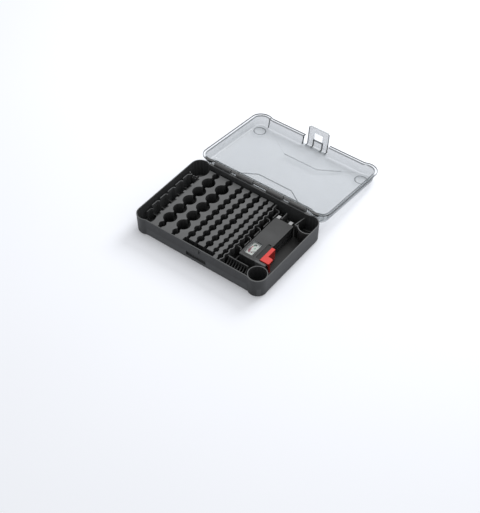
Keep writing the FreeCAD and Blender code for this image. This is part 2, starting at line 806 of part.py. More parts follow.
def lid_latch():
    """Springy tongue: a root bead, a short shelf, and a tall tab with a window."""
    half = latch_half_width
    outer_y = latch_inner_y - latch_thickness
    shelf_top = latch_root_z + latch_thickness / 2 - 0.1
    shelf_low = latch_root_z - latch_thickness / 2 + 0.1
    bead = bar_x(-half, half, latch_root_y, latch_root_z, latch_bead_radius)
    shelf = box(-half, half, outer_y, latch_root_y - 0.5, shelf_low, shelf_top)
    tab = box(-half, half, outer_y, latch_inner_y, latch_bottom, shelf_top)
    lip = prism_x([(outer_y + 0.5, latch_bottom), (outer_y - 1.8, latch_bottom),
                   (outer_y - 1.8, latch_bottom + 1.2), (outer_y + 0.5, latch_bottom + 5)],
                  -half + latch_corner, half - latch_corner)
    body = union([bead, shelf, tab, lip])
    nose = [edge for edge in body.Edges
            if abs(edge.BoundBox.YMax - outer_y) < 0.01 and abs(edge.BoundBox.YMin - outer_y) < 0.01
            and abs(edge.BoundBox.ZMax - shelf_top) < 0.01
            and abs(edge.BoundBox.ZMin - shelf_top) < 0.01]
    body = body.makeFillet(latch_thickness * 0.9, nose)
    corners = []
    for side in (-1, 1):
        square = box(min(side * (half - latch_corner), side * (half + 1)),
                     max(side * (half - latch_corner), side * (half + 1)),
                     outer_y - 3, latch_inner_y + 1, latch_bottom - 1,
                     latch_bottom + latch_corner)
        quarter = Part.makeCylinder(latch_corner, 8,
                                    Vector(side * (half - latch_corner), outer_y - 4,
                                           latch_bottom + latch_corner), Vector(0, 1, 0))
        corners.append(square.cut(quarter))
    window = box(-latch_window_half, latch_window_half, outer_y - 3, latch_inner_y + 1,
                 *latch_window)
    body = carve(body, corners + [window])
    rib_low, rib_high = latch_window[1], shelf_low - 0.5
    ribs = [box(side * latch_rib_x - 0.6, side * latch_rib_x + 0.6,
                outer_y - latch_rib_height, outer_y + 0.2, rib_low, rib_high)
            for side in (-1, 1)]
    ribs.append(box(-latch_rib_x, latch_rib_x, outer_y - latch_rib_height, outer_y + 0.2,
                    rib_low + 1.5, rib_low + 2.7))
    return folded(union([body] + ribs))


# ---- tester housing --------------------------------------------------------------------
def tester_form(grow, z0, z1):
    """The tester's plan, a long body with a foot at its front, drawn in by a wall."""
    x0, x1 = tester_x[0] + grow, tester_x[1] - grow
    y0, y1 = tester_y[0] + grow, tester_y[1] - grow
    body = box(x0, x1, y0, y1, z0, z1).fuse(
        box(x0, foot_reach - grow, y0, foot_back - grow, z0, z1)).removeSplitter()
    if grow > 0:
        return body
    return round_upright(body, tester_corner,
                         [(x0, y0), (x0, y1), (x1, y1), (foot_reach, y0),
                          (foot_reach, foot_back)])


def slider_slot():
    """Slot in the right side that the slider's neck runs in."""
    half = slider_neck_height / 2 + slider_gap
    return box(tester_x[1] - tester_wall - 1, tester_x[1] + 1,
               slider_neck_y[0] - 1, slider_neck_y[1] + slider_travel + 1,
               tester_seam - half, tester_seam + half)


def rail_grooves():
    """Two long grooves in the right side that guide the slider."""
    return [box(tester_x[1] - rail_groove_depth, tester_x[1] + 1,
                slider_y[0] - 0.5, slider_y[1] + slider_travel + 1,
                z, z + rail_groove_height) for z in rail_groove_z]


def contact_slots():
    """Slits that the three fixed contacts pass through."""
    top = tester_z[1] - tester_wall
    half = contact_tail_width / 2
    slots = [box(x - half, x + half, tester_y[1] - tester_wall - 1, tester_y[1] + 1,
                 top - contact_thickness, top) for x in block_contact_x]
    low = top - foot_tail_drop
    slots.append(box(*foot_tail_x, foot_back - tester_wall - 1, foot_back + 1, low,
                     low + contact_thickness))
    return slots


def tester_bottom_case():
    """Lower half of the tester housing, with screw bosses and posts for the dial."""
    low = tester_z[0]
    outer = tester_form(0, low, tester_seam)
    inner = tester_form(tester_wall, low + tester_wall, tester_seam)
    shell = outer.cut(inner)
    bosses = [post(x, y, 3.4, low, tester_seam) for x, y in screw_spots]
    dial_posts = [post(window_x[0] + 1, y, 1.4, low, dial_z)
                  for y in (window_y[0] + 1.5, window_y[1] - 1.5)]
    shell = union([shell] + bosses + dial_posts)
    holes = []
    for x, y in screw_spots:
        holes.append(post(x, y, screw_radius + 0.3, low - 1, tester_seam + 1))
        holes.append(post(x, y, screw_head_radius + 0.3, low - 1, low + screw_head_height + 0.4))
    return carve(shell, holes + [slider_slot(), rail_grooves()[0]])


def tester_top_cover():
    """Upper half of the tester housing, with the meter opening and its surface detail."""
    top = tester_z[1]
    outer = tester_form(0, tester_seam, top)
    outer = outer.makeFillet(0.8, flat_edges(outer, top))
    shell = outer.cut(tester_form(tester_wall, tester_seam, top - tester_wall))
    bosses = [post(x, y, 3.0, tester_seam, top - 0.6) for x, y in screw_spots]
    strip = box(*cover_strip_x, *cover_strip_y, top - 0.5, top + cover_raise)
    lip = box(tester_x[0] + 1.5, foot_reach - 1.5, tester_y[0] + 1.2, foot_back - 1,
              top - 0.5, top + cover_raise)
    shell = union([shell, strip, lip] + bosses)
    opening = box(*window_x, *window_y, top - 3, top + 1)
    seat = box(window_x[0] - window_ledge, window_x[1] + window_ledge,
               window_y[0] - window_ledge, window_y[1] + window_ledge,
               top - window_thickness, top + 1)
    channel = box(*channel_x, *channel_y, top - channel_depth, top + 1)
    holes = [post(x, y, screw_radius, tester_seam - 1,
                  tester_z[0] + screw_head_height + screw_length + 1) for x, y in screw_spots]
    return carve(shell, holes + [opening, seat, channel, slider_slot(), rail_grooves()[1]]
                 + contact_slots())


def meter_window():
    """Clear plate over the dial."""
    top = tester_z[1]
    edge = window_ledge - 0.1
    return box(window_x[0] - edge, window_x[1] + edge, window_y[0] - edge,
               window_y[1] + edge, top - window_thickness, top)


def housing_screws():
    """Self-tapping screws up from the underside, one solid each."""
    screws = []
    for x, y in screw_spots:
        z = tester_z[0] + 0.4
        head = post(x, y, screw_head_radius, z, z + screw_head_height)
        shank = post(x, y, screw_radius, z + screw_head_height, z + screw_head_height + screw_length)
        drive = [box(x - 1.5, x + 1.5, y - 0.4, y + 0.4, z - 1, z + 0.9),
                 box(x - 0.4, x + 0.4, y - 1.5, y + 1.5, z - 1, z + 0.9)]
        screws.append(carve(union([head, shank]), drive))
    return Part.makeCompound(screws)


# ---- meter movement ----------------------------------------------------------------------
def meter_dial():
    """White scale plate under the window, resting on two posts and on the bracket."""
    return box(window_x[0] - 1, meter_pivot[0] - 2, window_y[0] - 0.8, window_y[1] + 0.8,
               dial_z, dial_z + dial_thickness)


def meter_bracket():
    """C-shaped bracket with a bearing hole above and below the coil."""
    x, y = meter_pivot
    y0, y1 = y - bracket_half_depth, y + bracket_half_depth
    low = meter_ring_z[0] - 2.4 - meter_plate_thickness
    high = dial_z - meter_plate_thickness
    back = x + meter_ring_radius + bracket_clear
    pieces = [box(x - meter_ring_radius, back + meter_plate_thickness, y0, y1, low,
                  low + meter_plate_thickness),
              box(back, back + meter_plate_thickness, y0, y1, low, dial_z),
              box(x - 4, back + meter_plate_thickness, y0, y1, high, dial_z)]
    for x0 in (x - meter_ring_radius + 0.2, x + meter_ring_radius - 2.2):
        pieces.append(box(x0, x0 + 2, y - 2, y + 2, low, meter_ring_z[0]))
    foot = box(x - 2, x + 2, y0, y1, tester_z[0] + tester_wall, low)
    bearing = [post(x, y, shaft_radius + shaft_clearance, low - 0.2, low + 3),
               post(x, y, shaft_radius + shaft_clearance, high - 1, dial_z + 1)]
    return carve(union(pieces + [foot]), bearing)


def meter_magnet():
    """Ring yoke with a core held by a narrow bar, so that the coil can swing round it."""
    x, y = meter_pivot
    ring = tube(x, y, meter_bore_radius, meter_ring_radius, *meter_ring_z)
    core = post(x, y, meter_core_radius, *meter_ring_z)
    link = box(x - meter_bore_radius - 0.5, x + meter_bore_radius + 0.5, y - 1, y + 1,
               *meter_ring_z)
    return union([ring, core, link])


def at_low_end(shape):
    """A swinging piece turned from mid scale to where it rests."""
    shape.rotate(Vector(*meter_pivot, 0), Vector(0, 0, 1), needle_swing / 2)
    return shape


def meter_coil():
    """Rectangular coil round the core, with a stub shaft above and below."""
    x, y = meter_pivot
    z0, z1 = meter_ring_z
    reach = (meter_bore_radius + meter_core_radius) / 2 + coil_bar / 2
    sides = [box(x - 1, x + 1, y + a, y + a + coil_bar, z0 - 1.2, z1 + 1.2)
             for a in (-reach, reach - coil_bar)]
    bars = [box(x - 1, x + 1, y - reach, y + reach, z, z + 0.8) for z in (z0 - 1.2, z1 + 0.4)]
    low = z0 - 2.4 - meter_plate_thickness
    stubs = [post(x, y, shaft_radius, low, z0 - 1),
             post(x, y, shaft_radius, z1 + 1, needle_z)]
    return at_low_end(union(sides + bars + stubs))


def meter_hairspring():
    """Flat spiral made of half rings that widen step by step."""
    x, y = meter_pivot
    z = meter_ring_z[1] + 1.3
    step = 0.32
    pieces = []
    for k in range(7):
        radius = shaft_radius + 0.06 + step * (k + 1)
        side = 1 if k % 2 else -1
        centre = y + side * step / 2
        ring = tube(x, centre, radius - 0.08, radius + 0.08, z, z + 0.4)
        half = box(x - 5 if side < 0 else x, x if side < 0 else x + 5, y - 5, y + 5, z, z + 0.4)
        pieces.append(ring.common(half))
    inner = shaft_radius + 0.06 + step
    pieces.append(box(x - 0.08, x + 0.08, y - step / 2 - inner - 0.08, y - shaft_radius, z, z + 0.4))
    return union(pieces)


def meter_needle():
    """Pointer with a hub and a short tail."""
    x, y = meter_pivot
    hub = post(x, y, 1.3, needle_z, needle_z + 0.8)
    pointer = prism_z([(x, y - 0.6), (x - needle_length, y - 0.15),
                       (x - needle_length, y + 0.15), (x, y + 0.6)],
                      needle_z + 0.2, needle_z + 0.6)
    tail = box(x, x + 4, y - 0.6, y + 0.6, needle_z + 0.2, needle_z + 0.6)
    return at_low_end(union([hub, pointer, tail]))


# ---- contacts, wiring and slider ------------------------------------------------------------
def block_contact(x):
    """Folded tab out of the tester's rear end, with a tail inside."""
    top = tester_z[1] - tester_wall
    half = block_contact_width / 2
    end = tester_y[1] + block_contact_reach
    tail_half = contact_tail_width / 2
    tail = box(x - tail_half, x + tail_half, tester_y[1] - tester_wall - 4, tester_y[1],
               top - contact_thickness, top)
    plate = box(x - half, x + half, tester_y[1], end, top - contact_thickness, top)
    fold = box(x - half, x + half, end - contact_thickness, end, top - 6, top)
    return union([tail, plate, fold])


def fixed_contact():
    """Plate on the foot that a cell's lower end touches."""
    top = tester_z[1] - tester_wall
    plate = box(*foot_contact_x, foot_back, foot_back + contact_thickness,
                tester_z[0] + 4, top)
    tail = box(*foot_tail_x, foot_back - tester_wall - 2.4, foot_back, top - foot_tail_drop,
               top - foot_tail_drop + contact_thickness)
    return union([plate, tail])


def contact_rail():
    """Long strip inside the housing that the slider's wiper runs along."""
    x = tester_x[1] - tester_wall - slider_gap - slider_flange_thickness - 2.2
    strip = box(x, x + 0.6, slider_neck_y[0] - 2, slider_neck_y[1] + slider_travel + 2,
                tester_seam - 2, tester_seam + 2)
    feet = [box(x, x + 0.6, y, y + 3, tester_z[0] + tester_wall, tester_seam - 2)
            for y in (slider_neck_y[0], slider_neck_y[1] + slider_travel - 3)]
    return union([strip] + feet)


def slider_arm():
    """Red sliding block with an arm and a hanging post that clamps a cell."""
    x0 = tester_x[1] + slider_gap
    y0, y1 = slider_y
    top = tester_z[1] + 0.6
    block = box(x0, slider_side, y0, y1, slider_bottom, top)
    block = round_upright(block, 1.5, [(slider_side, y1)])
    arm = box(slider_side - 1, slider_arm_reach, y0, slider_arm_back,
              top - slider_arm_thickness, top)
    arm = round_upright(arm, 4.0, [(slider_arm_reach, slider_arm_back)])
    arm = round_upright(arm, 1.5, [(slider_arm_reach, y0)])
    hanging = box(slider_arm_reach - post_width, slider_arm_reach, y0, y0 + post_depth,
                  slider_bottom, top - slider_arm_thickness + 0.5)
    hanging = round_upright(hanging, 1.5, [(slider_arm_reach, y0)])
    web = box(slider_side - 1, slider_arm_reach - post_width + 1, y0 + 1.5, y0 + 3.5,
              slider_bottom + 6, top - slider_arm_thickness + 0.5)
    tongues = [box(tester_x[1] - rail_groove_depth + slider_gap, x0 + 1, y0 + 1, y1 - 1,
                   z + slider_gap, z + rail_groove_height - slider_gap) for z in rail_groove_z]
    half = slider_neck_height / 2
    inner = tester_x[1] - tester_wall - slider_gap
    neck = box(inner - 0.5, x0 + 1, *slider_neck_y, tester_seam - half, tester_seam + half)
    flange = box(inner - slider_flange_thickness, inner, *slider_neck_y,
                 tester_seam - slider_flange_height / 2, tester_seam + slider_flange_height / 2)
    return union([block, arm, hanging, web, neck, flange] + tongues)


def slider_contact():
    """Plate on the slider's post that a cell's upper end touches."""
    return box(slider_arm_reach - post_width + 0.2, slider_arm_reach - 1.5,
               slider_y[0] - contact_thickness, slider_y[0], slider_bottom + 1,
               tester_z[1] - 5)


def slider_wiper():
    """Bowed strip on the slider's flange that rubs along the contact rail."""
    face = tester_x[1] - tester_wall - slider_gap - slider_flange_thickness
    y0, y1 = slider_neck_y
    rail_face = face - 1.6
    middle = (y0 + y1) / 2
    profile = [(face, y0 + 1), (face, y0 + 3), (rail_face + 0.5, middle - 1),
               (rail_face + 0.5, middle + 1), (face, y1 - 3), (face, y1 - 1),
               (face - 0.4, y1 - 1), (face - 0.4, y1 - 3), (rail_face + 0.1, middle + 1),
               (rail_face + 0.1, middle - 1), (face - 0.4, y0 + 3), (face - 0.4, y0 + 1)]
    return prism_z(profile, tester_seam - 1.2, tester_seam + 1.2)


def load_resistors():
    """Two resistors lying on the case floor, one solid each."""
    z = tester_z[0] + tester_wall + 2
    pieces = []
    for y in (12.0, 20.0):
        body = Part.makeCylinder(1.9, 8, Vector(78, y, z), Vector(1, 0, 0))
        leads = Part.makeCylinder(0.35, 16, Vector(74, y, z), Vector(1, 0, 0))
        pieces.append(union([body, leads]))
    return Part.makeCompound(pieces)


def wire_run(points, radius):
    """Round wire along straight runs that meet in arcs of 0.45 of the shorter run."""
    edges = []
    last = points[0]
    for before, corner, after in zip(points, points[1:], points[2:]):
        back = (before - corner)
        ahead = (after - corner)
        trim = 0.45 * min(back.Length, ahead.Length)
        start = corner + back.normalize() * trim
        end = corner + ahead.normalize() * trim
        bisector = (back + ahead).normalize()
        half_turn = (math.pi - back.getAngle(ahead)) / 2
        arc_radius = trim / math.tan(half_turn)
        middle = corner + bisector * (math.hypot(trim, arc_radius) - arc_radius)
        edges.append(Part.LineSegment(last, start).toShape())
        edges.append(Part.Arc(start, middle, end).toShape())
        last = end
    edges.append(Part.LineSegment(last, points[-1]).toShape())
    path = Part.Wire(edges)
    heading = points[1] - points[0]
    section = Part.Wire(Part.makeCircle(radius, points[0], heading))
    return path.makePipeShell([section], True, False)


def wire_red():
    """Lead from the underside of a rear contact to the upright of the meter bracket."""
    x = block_contact_x[1]
    start_z = tester_z[1] - tester_wall - contact_thickness - wire_radius
    end_x = meter_pivot[0] + meter_ring_radius + bracket_clear + meter_plate_thickness / 2
    end_y = meter_pivot[1] + bracket_half_depth
    return wire_run([Vector(x, tester_y[1] - tester_wall - 3, start_z),
                     Vector(x, end_y + 66, start_z - 4), Vector(x + 1, end_y + 48, start_z - 7),
                     Vector(x - 1, end_y + 30, start_z - 8),
                     Vector(end_x, end_y + 12, start_z - 9), Vector(end_x, end_y, start_z - 9)],
                    wire_radius)


def wire_black():
    """Lead from the tail of the foot's contact to the foot of the meter bracket."""
    x = (foot_tail_x[0] + foot_tail_x[1]) / 2
    y = foot_back - tester_wall - 1.4
    floor_z = tester_z[0] + tester_wall + wire_radius + 0.8
    tail_z = tester_z[1] - tester_wall - foot_tail_drop
    end_x = meter_pivot[0]
    end_y = meter_pivot[1] - bracket_half_depth
    return wire_run([Vector(x, y, tail_z), Vector(x, y, floor_z + 4),
                     Vector(tester_x[1] - 3, y, floor_z + 1), Vector(end_x + 5, end_y - 14, floor_z),
                     Vector(end_x, end_y - 6, floor_z), Vector(end_x, end_y, floor_z)],
                    wire_radius)


# ---- write one file for each piece --------------------------------------------------------
pieces = {
    "base_shell": base_shell,
    "tray_floor": tray_floor,
    "well_strip_1": lambda: well_strip(0),
    "well_strip_2": lambda: well_strip(1),
    "well_strip_3": lambda: well_strip(2),
    "well_strip_4": lambda: well_strip(3),
    "well_strip_5": lambda: well_strip(4),
    "well_strip_6": lambda: well_strip(5),
    "well_strip_7": lambda: well_strip(6),
    "scalloped_wall": scalloped_wall,
    "block_cell_leaves": block_cell_leaves,
    "block_cell_dividers": block_cell_dividers,
    "coin_column": coin_column,
    "coin_comb": coin_comb,
    "rear_d_wall_left": rear_d_wall_left,
    "rear_d_wall_right": rear_d_wall_right,
    "lid_shell": lid_shell,
    "lid_latch": lid_latch,
    "tester_bottom_case": tester_bottom_case,
    "tester_top_cover": tester_top_cover,
    "meter_window": meter_window,
    "housing_screws": housing_screws,
    "meter_dial": meter_dial,
    "meter_bracket": meter_bracket,
    "meter_magnet": meter_magnet,
    "meter_coil": meter_coil,
    "meter_hairspring": meter_hairspring,
    "meter_needle": meter_needle,
    "block_contact_left": lambda: block_contact(block_contact_x[0]),
    "block_contact_right": lambda: block_contact(block_contact_x[1]),
    "fixed_contact": fixed_contact,
    "contact_rail": contact_rail,
    "slider_arm": slider_arm,
    "slider_contact": slider_contact,
    "slider_wiper": slider_wiper,
    "load_resistors": load_resistors,
    "wire_red": wire_red,
    "wire_black": wire_black,
}

for name, make in pieces.items():
    make().exportStep("parts/" + name + ".step")
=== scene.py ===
"""Looks of the hinged battery organiser case: finishes, printed dial, floor, light and camera."""
import json
import math

import bpy
import numpy as np
from mathutils import Matrix, Vector


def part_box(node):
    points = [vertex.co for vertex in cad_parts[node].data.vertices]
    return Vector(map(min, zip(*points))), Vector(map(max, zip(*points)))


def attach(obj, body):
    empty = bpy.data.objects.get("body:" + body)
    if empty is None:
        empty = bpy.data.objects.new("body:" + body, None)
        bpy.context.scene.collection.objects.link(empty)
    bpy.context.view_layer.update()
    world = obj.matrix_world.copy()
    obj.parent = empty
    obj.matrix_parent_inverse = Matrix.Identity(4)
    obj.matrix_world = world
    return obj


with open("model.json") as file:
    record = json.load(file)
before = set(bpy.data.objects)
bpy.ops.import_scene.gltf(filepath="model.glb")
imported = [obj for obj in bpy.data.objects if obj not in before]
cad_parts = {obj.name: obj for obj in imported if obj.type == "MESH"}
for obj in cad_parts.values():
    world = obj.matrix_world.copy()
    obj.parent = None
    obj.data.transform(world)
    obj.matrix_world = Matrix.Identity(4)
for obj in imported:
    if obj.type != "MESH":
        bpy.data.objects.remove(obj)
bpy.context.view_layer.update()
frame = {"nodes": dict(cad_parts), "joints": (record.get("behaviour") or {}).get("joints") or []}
nodes = frame["nodes"]
joints = {joint["name"]: joint for joint in frame["joints"]}
MM = 0.001

# Places in millimetres: x from the middle to the right, y to the back, z up from the floor.
RIM_Z = 42.0
FRONT_WALL_Y = -97.6
FINGER_RECESS_BACK_Y = -92.6
FINGER_RECESS_TOP_Z = 19.0
BIG_CELL_CORNER = (130.0, 80.5)
STRIP_TOP_Z = 32.3
TESTER_FRONT_Y = -51.0
TESTER_TOP_Z = 30.4
WINDOW_MIDDLE_X = 79.5

# Places on the lid and its latch, in millimetres, as they lie when shut.
PANEL_INNER_Z = 64.2
PAD_FRONT_RUN = ((0.0, -42.1), (40.0, -42.1))
PAD_FRONT_SLANT = ((40.0, -42.1), (80.0, -70.1))
PAD_REAR_RUNS = (((0.0, 47.9), (40.0, 47.9)), ((40.0, 47.9), (80.0, 75.9)),
                 ((80.0, 75.9), (108.0, 89.9)))
CORNER_RINGS = ((125.0, -73.1), (124.0, 81.9))
CORNER_RING_RADIUS = 12.5
FLANGE_TOP_Z = 44.1
FLANGE_WIDTH = 4.3
LID_WALL = 1.8
FLANGE_CORNER_RADIUS = 24.0
FLANGE_CORNER_X = 127.4                            # where the round corners begin
FLANGE_FRONT_Y, FLANGE_REAR_Y = -101.0, 97.85      # between the corners
FRONT_BULGE, REAR_BULGE = 4.0, 4.05                # how far the corners stand past that
CORNER_SEAM_X = -118.3                             # drawn only, on the front wall
LATCH_SIDE_X = 24.5
LATCH_FOOT_Z = 18.5
LATCH_SLIT_X = -30.0                               # its side away from the latch
LATCH_RIB_X = 10.75
LATCH_BAR_Z = 48.1


# ---- shader writing ----------------------------------------------------------------
class Value:
    """A shader socket that sums are written on; each sum adds one Math node."""

    def __init__(self, finish, socket):
        self.finish = finish
        self.socket = socket

    def sum(self, operation, first, second=None):
        return self.finish.value("ShaderNodeMath", {"operation": operation},
                                 {0: first, 1: second})

    def __add__(self, other):
        return self.sum("ADD", self, other)

    def __radd__(self, other):
        return self.sum("ADD", other, self)

    def __sub__(self, other):
        return self.sum("SUBTRACT", self, other)

    def __rsub__(self, other):
        return self.sum("SUBTRACT", other, self)

    def __mul__(self, other):
        return self.sum("MULTIPLY", self, other)

    def __rmul__(self, other):
        return self.sum("MULTIPLY", other, self)

    def __truediv__(self, other):
        return self.sum("DIVIDE", self, other)

    def __pow__(self, other):
        return self.sum("POWER", self, other)

    def __abs__(self):
        return self.sum("ABSOLUTE", self)

    def least(self, other):
        return self.sum("MINIMUM", self, other)

    def most(self, other):
        return self.sum("MAXIMUM", self, other)

    def between(self, low, high):
        """0 below low, 1 above high, and smooth between them; reversed if low is above high."""
        return self.finish.value(
            "ShaderNodeMapRange", {"interpolation_type": "SMOOTHSTEP"},
            {0: self, 1: min(low, high), 2: max(low, high),
             3: float(low > high), 4: float(low < high)})


class Finish:
    """One material or world with its nodes, on Object coordinates in millimetres."""

    def __init__(self, name, block=None):
        self.block = block or bpy.data.materials.new(name)
        self.block.use_nodes = True
        self.tree = self.block.node_tree
        self.tree.nodes.clear()
        self.spots = None

    def node(self, kind, settings=None, feeds=None):
        """Adds a node of one type, makes its settings, then sets or links its sockets."""
        node = self.tree.nodes.new(kind)
        for name, setting in (settings or {}).items():
            setattr(node, name, setting)
        for name, feed in (feeds or {}).items():
            if isinstance(feed, Value):
                self.tree.links.new(feed.socket, node.inputs[name])
            elif feed is not None:
                node.inputs[name].default_value = feed
        return node

    def value(self, kind, settings=None, feeds=None, output=0):
        return Value(self, self.node(kind, settings, feeds).outputs[output])

    def place(self):
        """Object coordinates as one vector, in metres."""
        if self.spots is None:
            self.spots = self.value("ShaderNodeTexCoord", output="Object")
        return self.spots

    def axes(self, vector, scale=1.0):
        """The three parts of a vector, each times a scale."""
        parts = self.node("ShaderNodeSeparateXYZ", feeds={0: vector})
        return [Value(self, socket) * scale for socket in parts.outputs]

    def noise(self, size_mm, detail=2.0, roughness=0.5, stretch=None):
        """Noise from 0 to 1 whose lumps are about a size across, drawn out if stretched."""
        where = self.place()
        if stretch:
            where = self.value("ShaderNodeMapping", feeds={"Vector": where, "Scale": stretch})
        return self.value("ShaderNodeTexNoise", feeds={
            "Vector": where, "Scale": 1 / (size_mm * MM), "Detail": detail,
            "Roughness": roughness})

    def mix(self, share, first, second):
        """A colour that goes from the first to the second as share goes from 0 to 1."""
        return self.value("ShaderNodeMix", {"data_type": "RGBA"},
                          {0: share, 6: first, 7: second}, output=2)

    def bump(self, height, depth_mm, strength=1.0):
        return self.value("ShaderNodeBump", feeds={
            "Height": height, "Distance": depth_mm * MM, "Strength": strength})

    def surface(self, **feeds):
        """Principled surface from named sockets, and the output it feeds."""
        named = {name.replace("_", " "): feed for name, feed in feeds.items()}
        shader = self.value("ShaderNodeBsdfPrincipled", feeds=named, output="BSDF")
        self.output(shader)
        return self.block

    def output(self, shader):
        self.node("ShaderNodeOutputMaterial", feeds={"Surface": shader})


def grey(level, blue=0.0):
    """A linear grey, a little cooler by a share."""
    return (level * (1 - blue), level, level * (1 + blue), 1.0)


# ---- finishes ------------------------------------------------------------------------
def moulded(name, dark, light, roughness, light_and_wear=None, specular=0.5, relief=None):
    """Moulded plastic: slow mottling, fine spark grain, and a mask of painted highlight and
    shade, with some wear, that lightens or darkens it.

    That mask is given as a function of the finish that returns a share to add, below 0 where
    it darkens, and the relief as one that returns a height in millimetres.
    """
    finish = Finish(name)
    mottle = finish.noise(38, 3.0)
    grain = finish.noise(0.35, 2.0, 0.6)
    share = mottle * 0.5 + grain * 0.2 - 0.1
    if light_and_wear:
        share = share + light_and_wear(finish)
    tone = finish.mix(share.least(1.0).most(0.0), dark, light)
    height = grain * 0.04
    if relief:
        height = height + relief(finish)
    return finish.surface(
        Base_Color=tone, Roughness=roughness + 0.10 * (mottle - 0.5) + 0.06 * (grain - 0.5),
        Specular_IOR_Level=specular, Normal=finish.bump(height, 1.0, 0.6))


def corner_ribs(finish):
    """Upright ribs inside the corners that hold a big cell: 1 on a rib, 0 elsewhere."""
    x, y, z = finish.axes(finish.place(), 1000)
    out_x, out_y = abs(x) - BIG_CELL_CORNER[0], abs(y) - BIG_CELL_CORNER[1]
    reach = (out_x ** 2.0 + out_y ** 2.0) ** 0.5
    turn = out_y.sum("ARCTAN2", out_y, out_x) * 16.0
    wave = turn.sum("SINE", turn)
    tube = x.between(95.0, 96.0) * y.between(-50.0, -51.0)
    return wave.between(0.45, 0.8) * reach.between(18.9, 18.7) * z.between(38.5, 37.5) * (
        1 - tube)


def shell_painted_light_and_wear(finish):
    """Painted highlights on the rim and the corner ribs, a paler scuffed lower edge, painted
    light in the finger recess, and painted shade on the right front corner.
    """
    x, y, z = finish.axes(finish.place(), 1000)
    # Painted highlight along the rim's top edge.
    rim_highlight = z.between(RIM_Z - 1, RIM_Z)
    scuff = z.between(3.5, 1.0) * finish.noise(9, 3.0).between(0.45, 0.7)
    # Painted light inside the finger recess.
    recess_light = (y.between(FRONT_WALL_Y + 0.2, FRONT_WALL_Y + 0.8)
              * y.between(FINGER_RECESS_BACK_Y + 1.6, FINGER_RECESS_BACK_Y + 1.0)
              * z.between(FINGER_RECESS_TOP_Z + 1.5, FINGER_RECESS_TOP_Z + 0.5))
    # Painted shade on the right front corner, below the rim.
    shaded_corner = x.between(112.0, 140.0) * y.between(-78.0, -98.0) * z.between(RIM_Z - 1, RIM_Z - 2)
    # The corner ribs also get a painted highlight, on top of their bumped relief.
    return (rim_highlight * 0.55 + scuff * 0.25 + corner_ribs(finish) * 0.35 - shaded_corner * 0.3
            + recess_light * 0.5)


def shell_relief(finish):
    """The corner ribs stand half a millimetre proud."""
    return corner_ribs(finish) * 0.5


def tray_painted_light(finish):
    """Painted highlight on the strip tops and wall tops, and painted shade that deepens with
    depth and is darkest on the floor.
    """
    _, _, z = finish.axes(finish.place(), 1000)
    # Painted highlight on the tops.
    top_highlight = z.between(STRIP_TOP_Z - 1.3, STRIP_TOP_Z - 0.1)
    # Painted shade: the tone falls with depth, and falls again on the floor.
    height = z.between(4.0, 32.0)
    floor = z.between(5.0, 3.6)
    return top_highlight * 0.50 + height * 0.30 - 0.15 - floor * 0.2


def leaf_painted_light(finish):
    """Leaf faces are satin and lifted all the way down by painted light, with painted highlights
    on their tops.
    """
    _, _, z = finish.axes(finish.place(), 1000)
    return z.between(STRIP_TOP_Z - 0.9, STRIP_TOP_Z - 0.1) * 0.5 + 0.35


def tester_painted_light(finish):
    """Painted highlights, patchy along their length, on the front edges, the foot and the left
    side, and painted shade in the slider's channel and along the window's border.
    """
    x, y, z = finish.axes(finish.place(), 1000)
    top = z.between(TESTER_TOP_Z - 1.6, TESTER_TOP_Z - 0.6)
    # Painted highlights on the top's front edge, the foot's front edge and the left side.
    front_edge_highlight = y.between(TESTER_FRONT_Y + 2.4, TESTER_FRONT_Y + 1.4) * top * x.between(66.0, 68.0)
    foot = y.between(-46.8, -48.0) * x.between(101.0, 103.0) * z.between(12.0, 14.0)
    side = x.between(66.6, 65.9) * top
    # Painted shade in the slider's channel and along the window's border.
    channel_shade = (x.between(96.8, 98.4) * x.between(107.6, 107.0) * y.between(-42.4, -41.4)
               * y.between(0.4, -0.6))
    border_shade = (x.between(68.6, 69.2) * x.between(90.4, 89.8) * y.between(-43.6, -43.0)
              * y.between(-6.4, -7.0))
    # Breaks the painted highlights into patches.
    patchy_highlight = 0.55 + 0.45 * finish.noise(6, 2.0).between(0.35, 0.6)
    return (front_edge_highlight * 0.85 + foot * 0.9 + side * 0.4) * patchy_highlight - (channel_shade * 0.5 + border_shade * 0.12)


def facing_up(finish):
    """Share of a face's normal that points up or down."""
    return abs(finish.axes(finish.value("ShaderNodeTexCoord", output="Normal"))[2])


def clear_plastic(name, lines, tint, thin, dense_and_shade=None):
    """Clear smoke plastic: thin on its faces, with painted dark lines where light bends at its
    steps and edges, and thicker and darker where stated, partly as painted shade.

    Lines and the thicker places are functions of the shut lid's coordinates.  Each returns a
    share, and a share below 0 for the thicker places thins the plastic.  The cover is the share
    of light that a face stops.
    """
    finish = Finish(name)
    where = shut_lid_axes(finish)
    drawn = lines(*where).least(1.0).most(0.0)
    facing = finish.value("ShaderNodeLayerWeight", feeds={"Blend": 0.5}, output="Facing")
    haze = finish.noise(30, 3.0)
    upright = 1 - facing_up(finish)
    cover = thin + 0.03 * (haze - 0.5) + 0.30 * facing ** 4.0 + 0.13 * upright
    # Painted dark lines, where light bends in the clear plastic.
    tone = finish.mix(drawn, tint, grey(0.030, 0.05))
    gloss = 0.12 + 0.08 * haze
    # Thicker places are darker and stop more light; on the hinge side and the right end wall this
    # is partly painted shade.
    if dense_and_shade:
        thick_and_shade = dense_and_shade(*where)
        filled = thick_and_shade.least(1.0).most(0.0)
        tone = finish.mix(filled, tone, grey(0.030, 0.03))
        gloss = gloss + 0.40 * filled
        cover = (cover + 0.75 * thick_and_shade).most(0.02)
    cover = (cover + 0.85 * drawn).least(1.0)
    return finish.surface(
        Base_Color=tone, Roughness=gloss, Alpha=cover, IOR=1.49,
        Specular_IOR_Level=0.6, Normal=finish.bump(finish.noise(14, 2.0), 0.05, 0.25))


